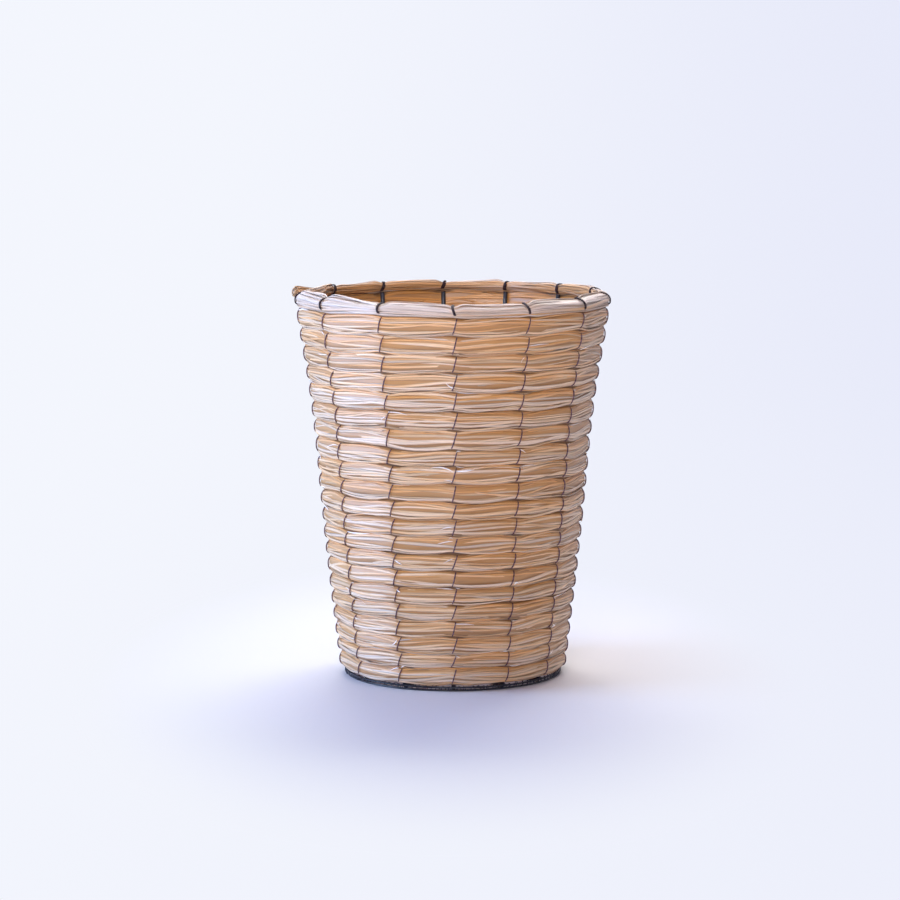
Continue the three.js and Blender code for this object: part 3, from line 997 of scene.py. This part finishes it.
class BASKET_OT_lay_slivers(Operator):
    """Lays the loose slivers that part from the rows beside the lashings.

    A sliver starts beside a lashing and runs along a row, climbing by a random slope and lifting off by the
    square of the share of its length. Its section is a thin diamond, rolled about the path, that narrows to
    both ends.
    """

    bl_idname = "basket.lay_slivers"
    bl_label = "Lay Slivers"

    def execute(self, context):
        straw = context.scene.basket_straw
        rng = np.random.default_rng([straw.seed, SLIVER_STREAM])
        one_each = (straw.slivers, 1)
        row = rng.integers(0, len(ROW_NODES), one_each)
        column = rng.integers(0, len(COLUMNS), one_each)
        way = np.where(rng.uniform(size=one_each) < SLIVER_RIGHTWARD, 1, -1)
        least, more = SLIVER_LENGTHS
        along = np.linspace(0, 1, SLIVER_POINTS) * (least + more * rng.uniform(size=one_each) ** 3) * MM
        middle = ROW_MIDDLE[row]
        angle = COLUMNS[column] + way * (SLIVER_START + along) / middle
        share = along / along[:, -1:]

        lines = np.array([row_lines(straw, each) for each in angle])
        each, point = np.arange(straw.slivers)[:, None], np.arange(SLIVER_POINTS)
        low, high = lines[each, row, point], lines[each, row + 1, point]
        height, level = (high - low) / 2, (high + low) / 2
        start = rng.choice(list(SLIVER_HEIGHTS), one_each, p=list(SLIVER_HEIGHTS.values()))
        start = start + rng.normal(0, SLIVER_HEIGHT_SPREAD, one_each)
        up = start + rng.normal(0, SLIVER_CLIMB, one_each) * share
        up = up + rng.normal(0, SLIVER_CLIMB, one_each) * share * (1 - share)
        up = np.clip(up, -SLIVER_LIMIT, SLIVER_LIMIT)
        reached = (1 - np.abs(up) ** (2 / SECTION_FULLNESS)) ** (SECTION_FULLNESS / 2)
        depth = ROW_HALF_DEPTH[row] + straw.fullness * (1 - drawn_in(angle, middle, straw.gather_length))
        lift = rng.uniform(*SLIVER_LIFT, one_each) + rng.uniform(*SLIVER_FLY, one_each) * share**2
        out = depth * np.maximum(reached, SLIVER_LEAST_REACH) + lift * MM
        lean = ROW_LEAN[row] - straw.tuck
        radius = middle * straight_reach(angle, straw.corner / middle) + out + lean * up * height
        path = place(angle, radius, level + up * height - straw.tilt * out)

        tip, body, skew = SLIVER_TAPER
        width = rng.uniform(*SLIVER_WIDTHS, one_each) * MM * (tip + body * np.sin(np.pi * share**skew))
        roll = rng.normal(0, SLIVER_ROLL, one_each) + rng.normal(0, SLIVER_CURL, one_each) * share
        side = FULL_TURN * np.arange(SLIVER_SIDES) / SLIVER_SIDES
        across = width[..., None] / 2 * np.sin(side) * way[..., None]
        proud = SLIVER_THICKNESS * np.cos(side)
        cos, sin = np.cos(roll)[..., None], np.sin(roll)[..., None]
        outward = place(angle, 1.0, 0.0)[:, :, None]
        grid = path[:, :, None] + (cos * proud - sin * across)[..., None] * outward
        grid[..., 2] += sin * proud + cos * across
        own = rng.uniform(size=(straw.slivers, 1, 1))
        shades = {"own": own, "tone": rng.uniform(*SLIVER_TONES, (straw.slivers, 1, 1))}
        mesh = loft("straw_slivers", grid, False, np.pad(along, ((0, 0), (0, 1)), "edge"), shades)
        # The palest colour is a painted highlight, for strip edges that catch the light
        colours = [tuple(straw.sliver_highlight), tuple(straw.pale), tuple(straw.golden)]
        add_piece("straw_slivers", mesh, straw_finish("highlight_sliver_straw", colours, SLIVER_TONE_SHIFT), "straw")
        return {"FINISHED"}


# Wire


class BASKET_OT_bend_stays(Operator):
    """Bends the upright stays, which turn in at the foot and meet at the hub.

    A stay is a round tube along the solid's own line, a quarter circle and a level leg, with slow random
    waves.
    """

    bl_idname = "basket.bend_stays"
    bl_label = "Bend Stays"

    def execute(self, context):
        wire = context.scene.basket_wire
        rng = np.random.default_rng(STAY_STREAM)
        material = wire_finish("black_lacquer", tuple(wire.colour))
        hub_radius, floor, hub_wire = ring_measures("hub_ring")
        bend_top = floor + wire.bend
        wall_height = np.linspace(STAY_TOP + wire.tuck, bend_top, WALL_POINTS)
        slope = np.diff(STAY_RADII) / np.diff(STAY_HEIGHTS)
        wall = np.interp(wall_height, STAY_HEIGHTS, STAY_RADII)
        wall = wall + slope[0] * np.minimum(wall_height - STAY_HEIGHTS[0], 0)
        wall = wall + slope[-1] * np.maximum(wall_height - STAY_HEIGHTS[-1], 0)
        turn = np.linspace(0, np.pi / 2, BEND_POINTS)[1:]
        bend_radius = wall[-1] - wire.bend + wire.bend * np.cos(turn)
        bend_height = bend_top - wire.bend * np.sin(turn)
        leg = np.linspace(bend_radius[-1], hub_radius + hub_wire / 2 + HUB_GAP, LEG_POINTS)[1:]
        radius = np.concatenate([wall, bend_radius, leg])
        height = np.concatenate([wall_height, bend_height, np.full(len(leg), floor)])
        for name, column in zip(STAY_NODES, COLUMNS):
            along = np.linspace(0, STAY_WAVE_LENGTH, len(radius))
            stray = wire.waver * waves(rng, 2, along, STAY_WAVES)
            stray *= np.minimum(1, np.arange(len(radius)) / STEADY_POINTS)
            side = sideways(column)
            path = (place(column, radius + WALL_WAVER * stray[0], height) + stray[1][:, None] * side)[None]
            grid = tube(path, np.broadcast_to(side, path.shape), wire.stay_diameter / 2, WIRE_SIDES, False)
            mesh = loft("wire_" + name, grid, False, path_length(path), {})
            add_piece("wire_" + name, mesh, material, "black_wire", name)
        return {"FINISHED"}


class BASKET_OT_close_foot(Operator):
    """Bends the two foot rings and the hub ring, round tubes on circles with slow random waves."""

    bl_idname = "basket.close_foot"
    bl_label = "Close Foot"

    def execute(self, context):
        wire = context.scene.basket_wire
        material = bpy.data.materials["black_lacquer"]
        angle = FULL_TURN * np.arange(RING_POINTS) / RING_POINTS
        for index, name in enumerate(("foot_ring", "foot_ring_upper", "hub_ring")):
            rng = np.random.default_rng([RING_STREAM, index])
            radius, height, thickness = ring_measures(name)
            stray = wire.waver * waves(rng, 2, angle, RING_WAVES)
            path = place(angle, radius + stray[0], height + RING_LIFT * np.abs(stray[1]))[None]
            grid = tube(path, np.broadcast_to(UPWARDS, path.shape), thickness / 2, WIRE_SIDES, True)
            mesh = loft("wire_" + name, grid, True, path_length(path), {})
            add_piece("wire_" + name, mesh, material, "black_wire", name)
        return {"FINISHED"}


# Thread


def stitch_points(rng, straw, thread, stay_diameter, line):
    """Points of the stitches up one stay: radius, side step, height, and one where the thread stands upright.

    Each stitch is half of its row's section, from foot to top with a side step of sin t, and then half a
    circle round the back of the stay at the line between two rows.
    """
    half = thread.diameter / 2
    count = len(ROW_NODES)
    step = thread.slant / 2 * rng.uniform(*STITCH_STEPS, (count, 1))
    shift = rng.normal(0, STITCH_SHIFT, (count, 1))
    depth = ROW_HALF_DEPTH[:, None] + half - STITCH_SINK
    height = ((line[1:] - line[:-1]) / 2)[:, None] * (1 - straw.gather) * STITCH_REACH + straw.press
    level = ((line[1:] + line[:-1]) / 2)[:, None]
    up = height * signed_power(np.sin(STITCH_ARC), SECTION_FULLNESS)
    out = depth * signed_power(np.cos(STITCH_ARC), SECTION_FULLNESS)
    radius = ROW_MIDDLE[:, None] + out + (ROW_LEAN[:, None] - straw.tuck) * up
    side = shift + step * np.sin(STITCH_ARC)

    stay_half = stay_diameter / 2 + half
    stay_radius = np.interp(line[1:], STAY_HEIGHTS, STAY_RADII)[:, None]
    back_side = stay_half * np.cos(STAY_ARC) * np.ones((count, 1))
    back_height = line[1:, None] * np.ones(len(STAY_ARC))
    pairs = [
        (radius, stay_radius - stay_half * np.sin(STAY_ARC)),
        (side, back_side),
        (level + (up - straw.tilt * out), back_height),
        (np.ones_like(side), np.zeros_like(back_side)),
    ]
    points = np.stack([np.concatenate(pair, axis=1) for pair in pairs], axis=-1)
    return points.reshape(-1, len(pairs))[: -len(STAY_ARC)]


def tie_points(rim, thread, column, foot_line):
    """Points of the tie over the rim, as the stitches' are: turns round the rim's section, side by side."""
    half = thread.diameter / 2
    ring = np.arange(0, (thread.tie_loops + TIE_END) * 360, TIE_STEP)
    turn = np.radians(-90 - ring)
    top = rim_top(rim, column) - rim.tie_notch
    outside = smooth_step(0.5 + np.cos(turn))
    foot = foot_line + (TIE_FOOT_INSIDE + (TIE_FOOT_OUTSIDE - TIE_FOOT_INSIDE) * outside) * MM
    height = (top - foot) / 2 + half + TIE_ROOM
    out = (RIM_HALF_DEPTH + half + TIE_ROOM) * signed_power(np.cos(turn), TIE_SQUARENESS)
    up = height * signed_power(np.sin(turn), TIE_SQUARENESS)
    side = TIE_START - ring / 360 * thread.diameter - thread.tie_slant / 2 * np.sin(turn)
    level = (top + foot) / 2 + up - rim.tilt * out
    return np.stack([RIM_MIDDLE + out, side, level, np.ones(len(ring))], axis=-1)


class BASKET_OT_lash_rows(Operator):
    """Lashes every row to its stays with one thread to a stay, and ties it over the rim."""

    bl_idname = "basket.lash_rows"
    bl_label = "Lash Rows"

    def execute(self, context):
        straw = context.scene.basket_straw
        rim = context.scene.basket_rim
        thread = context.scene.basket_thread
        stay_diameter = context.scene.basket_wire.stay_diameter
        material = thread_finish("waxed_thread", tuple(thread.colour))
        lines = row_lines(straw, COLUMNS)
        for index, (name, column) in enumerate(zip(LASHING_NODES, COLUMNS)):
            rng = np.random.default_rng([straw.seed, THREAD_STREAM, index])
            stitches = stitch_points(rng, straw, thread, stay_diameter, lines[:, index])
            tie = tie_points(rim, thread, column, lines[-1, index])
            tied = np.repeat([0.0, 1.0], [len(stitches), len(tie)])
            points = np.column_stack([np.concatenate([stitches, tie]), tied])
            radius, step, height, upright, tied = smooth_path(points[None], CURVE_STEPS)[0].T
            side = sideways(column)
            path = (place(column, radius, height) + step[:, None] * side)[None]
            share = np.clip(upright, 0, 1)[:, None]
            guide = (share * side + (1 - share) * UPWARDS)[None]
            tied = np.clip(tied, 0, 1)[None]
            grid = tube(path, guide, thread.diameter / 2 * (1 + TIE_THICKER * tied), THREAD_SIDES, False)
            mesh = loft("thread_" + name, grid, False, path_length(path), {"tied": tied[..., None]})
            add_piece("thread_" + name, mesh, material, "thread", name)
        return {"FINISHED"}


class BASKET_OT_bind_foot(Operator):
    """Winds the thin overcast thread round the foot rings.

    The path turns round both rings' section once to a stitch as it goes round the foot, with random waves
    that let some turns stand up in loose loops.
    """

    bl_idname = "basket.bind_foot"
    bl_label = "Bind Foot"

    def execute(self, context):
        thread = context.scene.basket_thread
        rng = np.random.default_rng(FOOT_STREAM)
        lower, low_height, thickness = ring_measures("foot_ring")
        upper, high_height, _ = ring_measures("foot_ring_upper")
        rings = thread.foot_stitches * TURN_POINTS
        angle = FULL_TURN * np.arange(rings) / rings
        turn = FULL_TURN * thread.foot_stitches * np.arange(rings) / rings
        wave = waves(rng, 3, angle, FOOT_WAVES)
        out = thickness / 2 + FOOT_ROOM + FOOT_STRAY * wave[0]
        low = low_height - thickness / 2 + FOOT_GROUND
        high = high_height + thickness / 2 + FOOT_OVER + FOOT_LOOP * np.clip(wave[1], 0, FOOT_LOOP_LIMIT)
        radius = (lower + upper) / 2 + out * signed_power(np.cos(turn), TIE_SQUARENESS)
        height = (low + high) / 2 + (high - low) / 2 * signed_power(np.sin(turn), TIE_SQUARENESS)
        path = place(angle + FOOT_SIDEWAYS * wave[2], radius, np.maximum(height, low))[None]
        guide = np.stack([np.cos(angle), np.sin(angle), np.zeros(rings)], axis=-1)[None]
        grid = tube(path, guide, thread.foot_thickness / 2, FOOT_SIDES, True)
        mesh = loft("thread_foot_binding", grid, True, path_length(path), {})
        material = thread_finish("navy_thread", tuple(thread.foot_colour))
        add_piece("thread_foot_binding", mesh, material, "thread")
        return {"FINISHED"}


# Stage


def area_light(name, side, rise, distance, size, power, colour, aim=0.5, spread=180):
    """Soft light that faces the basket's axis, from a direction given by two angles in degrees.

    Side is measured from the front, positive to the right, and rise is above the level. Aim is the share of
    the basket's height that it faces, and spread is the angle in which it shines.
    """
    side, rise = math.radians(side), math.radians(rise)
    target = Vector((0, 0, aim * CAD_BOX[1][2]))
    away = Vector((math.cos(rise) * math.sin(side), -math.cos(rise) * math.cos(side), math.sin(rise)))
    data = bpy.data.lights.new(name, "AREA")
    data.shape = "RECTANGLE"
    data.size, data.size_y = size
    data.energy = power
    data.color = colour
    data.spread = math.radians(spread)
    light = bpy.data.objects.new(name, data)
    light.location = target + distance * away
    light.rotation_euler = (-away).to_track_quat("-Z", "Y").to_euler()
    bpy.context.scene.collection.objects.link(light)


def seen_directly(tree):
    """One for a camera, glossy or transmission ray, and zero for the light that the surface sheds."""
    rays = node(tree, "LightPath", {}).outputs
    seen = calc(tree, "ADD", rays["Is Camera Ray"], rays["Is Glossy Ray"])
    return calc(tree, "ADD", seen, rays["Is Transmission Ray"], clamp=True)


class BASKET_OT_set_stage(Operator):
    """Makes the pale sweep of floor and backdrop, the soft lights, the world and the camera."""

    bl_idname = "basket.set_stage"
    bl_label = "Set Stage"

    def execute(self, context):
        scene = context.scene
        stage = scene.basket_stage
        self.add_sweep(stage)
        self.add_lights(stage)
        scene.world = self.make_world(stage)
        scene.view_settings.view_transform = "Standard"

        data = bpy.data.cameras.new("photo_camera")
        data.lens = stage.focal_length
        data.sensor_width = SENSOR_WIDTH
        camera = bpy.data.objects.new("photo_camera", data)
        camera.location = (stage.camera_side, -stage.camera_distance, stage.camera_height)
        camera.rotation_euler = (math.pi / 2 - stage.camera_pitch, 0, 0)
        scene.collection.objects.link(camera)
        scene.camera = camera
        return {"FINISHED"}

    def add_lights(self, stage):
        """Two low cool lights at the left, a weak narrow one in front, one overhead and a wide one behind."""
        area_light(
            "left_low", side=-80, rise=12, distance=1.4, size=(0.8, 1.1),
            power=stage.left_power, colour=(0.38, 0.59, 1.0)
        )
        area_light(
            "back_left", side=-132, rise=12, distance=1.5, size=(0.7, 0.7),
            power=stage.back_left_power, colour=(0.32, 0.48, 1.0)
        )
        area_light(
            "front", side=-8, rise=14, distance=1.8, size=(0.6, 0.6),
            power=stage.front_power, colour=(0.98, 0.93, 1.0),
            aim=1.35, spread=28
        )
        area_light(
            "overhead", side=0, rise=86, distance=1.8, size=(1.0, 1.0),
            power=stage.overhead_power, colour=(0.86, 0.78, 1.0)
        )
        area_light(
            "back_top", side=172, rise=50, distance=1.9, size=(1.6, 1.0),
            power=stage.back_power, colour=(0.98, 1.0, 0.97)
        )

    def make_world(self, stage):
        """Where it is seen, pale behind the basket and grey in front of it; dim as a light."""
        world = bpy.data.worlds.new("soft_room")
        world.use_nodes = True
        tree = world.node_tree
        dim = tree.nodes["Background"]
        set_inputs(tree, dim, {"Color": ROOM_TINT, "Strength": stage.room_light})
        back = split(tree, node(tree, "TexCoord", {}).outputs["Generated"])["Y"]
        tints = [(0.0, tuple(stage.room_colour)), (1.0, tuple(stage.backdrop_left))]
        colour = blend_colours(tree, ranged(tree, back, -1, 1), tints)
        pale = node(tree, "Background", {"Color": colour, "Strength": 1.0})
        mixed = node(tree, "MixShader", {0: seen_directly(tree), 1: dim.outputs[0], 2: pale.outputs[0]})
        tree.links.new(mixed.outputs[0], tree.nodes["World Output"].inputs["Surface"])
        return world

    def add_sweep(self, stage):
        """Floor that turns up into a backdrop: a line, a quarter circle and a line, carried sideways."""
        turn = np.linspace(0, np.pi / 2, SWEEP_STEPS)
        end = SWEEP_BACK + SWEEP_RADIUS
        back = np.concatenate([[-SWEEP_HALF], SWEEP_BACK + SWEEP_RADIUS * np.sin(turn), [end]])
        up = np.concatenate([[0.0], SWEEP_RADIUS * (1 - np.cos(turn)), [SWEEP_HEIGHT]])
        across = np.array([-SWEEP_HALF, SWEEP_HALF])
        grid = np.stack(np.broadcast_arrays(across[None, :], back[:, None], up[:, None]), axis=-1)
        rows, columns = grid.shape[:2]
        ids = np.arange(rows * columns).reshape(rows, columns)
        faces = np.stack([ids[:-1, :-1], ids[:-1, 1:], ids[1:, 1:], ids[1:, :-1]], axis=-1).reshape(-1, 4)
        mesh = bpy.data.meshes.new("pale_sweep")
        mesh.from_pydata(grid.reshape(-1, 3).tolist(), [], faces.tolist())
        mesh.polygons.foreach_set("use_smooth", np.ones(len(faces), bool))
        mesh.materials.append(self.paper_finish(stage))
        sweep = bpy.data.objects.new("pale_sweep", mesh)
        bpy.context.scene.collection.objects.link(sweep)

    def paper_finish(self, stage):
        """Pale paper that takes the shadow near the basket and fades to an even bright backdrop."""
        material, tree, shader = finish("pale_paper")
        where = own_place(tree)
        colour = tuple(stage.floor_colour)
        lighter = tuple(min(1, value * PAPER_LIGHTER) for value in colour)
        cloud = noise(tree, where, PAPER_CLOUD, detail=2)
        paper = blend_colours(tree, cloud, list(zip(NOISE_MIDDLE, (colour, lighter))))
        set_inputs(tree, shader, {"Base Color": paper} | PAPER_GLOSS)

        share = ranged(tree, split(tree, where)["X"], *TINT_SPAN, ease="SMOOTHSTEP")
        tints = [(0.0, tuple(stage.backdrop_left)), (1.0, tuple(stage.backdrop_right))]
        glow = node(tree, "Emission", {"Color": blend_colours(tree, share, tints), "Strength": 1.0})
        drawn = scaled(tree, where, FADE_SHAPE)
        away = node(tree, "VectorMath", {0: drawn}, operation="LENGTH").outputs["Value"]
        far = ranged(tree, away, stage.fade_start, stage.fade_end, ease="SMOOTHSTEP")
        share = calc(tree, "MULTIPLY", far, seen_directly(tree))
        mixed = node(tree, "MixShader", {0: share, 1: shader.outputs[0], 2: glow.outputs[0]})
        tree.links.new(mixed.outputs[0], tree.nodes["Material Output"].inputs["Surface"])
        return material


class BASKET_PT_dress(Panel):
    """Lists the steps that dress the basket and the settings they use."""

    bl_idname = "BASKET_PT_dress"
    bl_label = "Ikebana Basket"
    bl_space_type = "VIEW_3D"
    bl_region_type = "UI"
    bl_category = "Basket"

    def draw(self, context):
        column = self.layout.column()
        for step in STEPS:
            column.operator(step.bl_idname)
        for key, group in SETTINGS.items():
            box = self.layout.box()
            settings = getattr(context.scene, key)
            for prop in group.__annotations__:
                box.prop(settings, prop)


SETTINGS = {
    "basket_straw": BasketStraw,
    "basket_rim": BasketRim,
    "basket_wire": BasketWire,
    "basket_thread": BasketThread,
    "basket_stage": BasketStage,
}
STEPS = (
    BASKET_OT_weave_rows,
    BASKET_OT_bind_rim,
    BASKET_OT_lay_slivers,
    BASKET_OT_bend_stays,
    BASKET_OT_close_foot,
    BASKET_OT_lash_rows,
    BASKET_OT_bind_foot,
    BASKET_OT_set_stage,
)


def register():
    for made in (*SETTINGS.values(), *STEPS, BASKET_PT_dress):
        bpy.utils.register_class(made)
    for key, group in SETTINGS.items():
        setattr(bpy.types.Scene, key, PointerProperty(type=group))


def unregister():
    for key in SETTINGS:
        delattr(bpy.types.Scene, key)
    for made in reversed((*SETTINGS.values(), *STEPS, BASKET_PT_dress)):
        bpy.utils.unregister_class(made)


def main():
    register()
    bpy.ops.basket.weave_rows()
    bpy.ops.basket.bind_rim()
    bpy.ops.basket.lay_slivers()
    bpy.ops.basket.bend_stays()
    bpy.ops.basket.close_foot()
    bpy.ops.basket.lash_rows()
    bpy.ops.basket.bind_foot()
    bpy.ops.basket.set_stage()


if __name__ == "__main__":
    main()
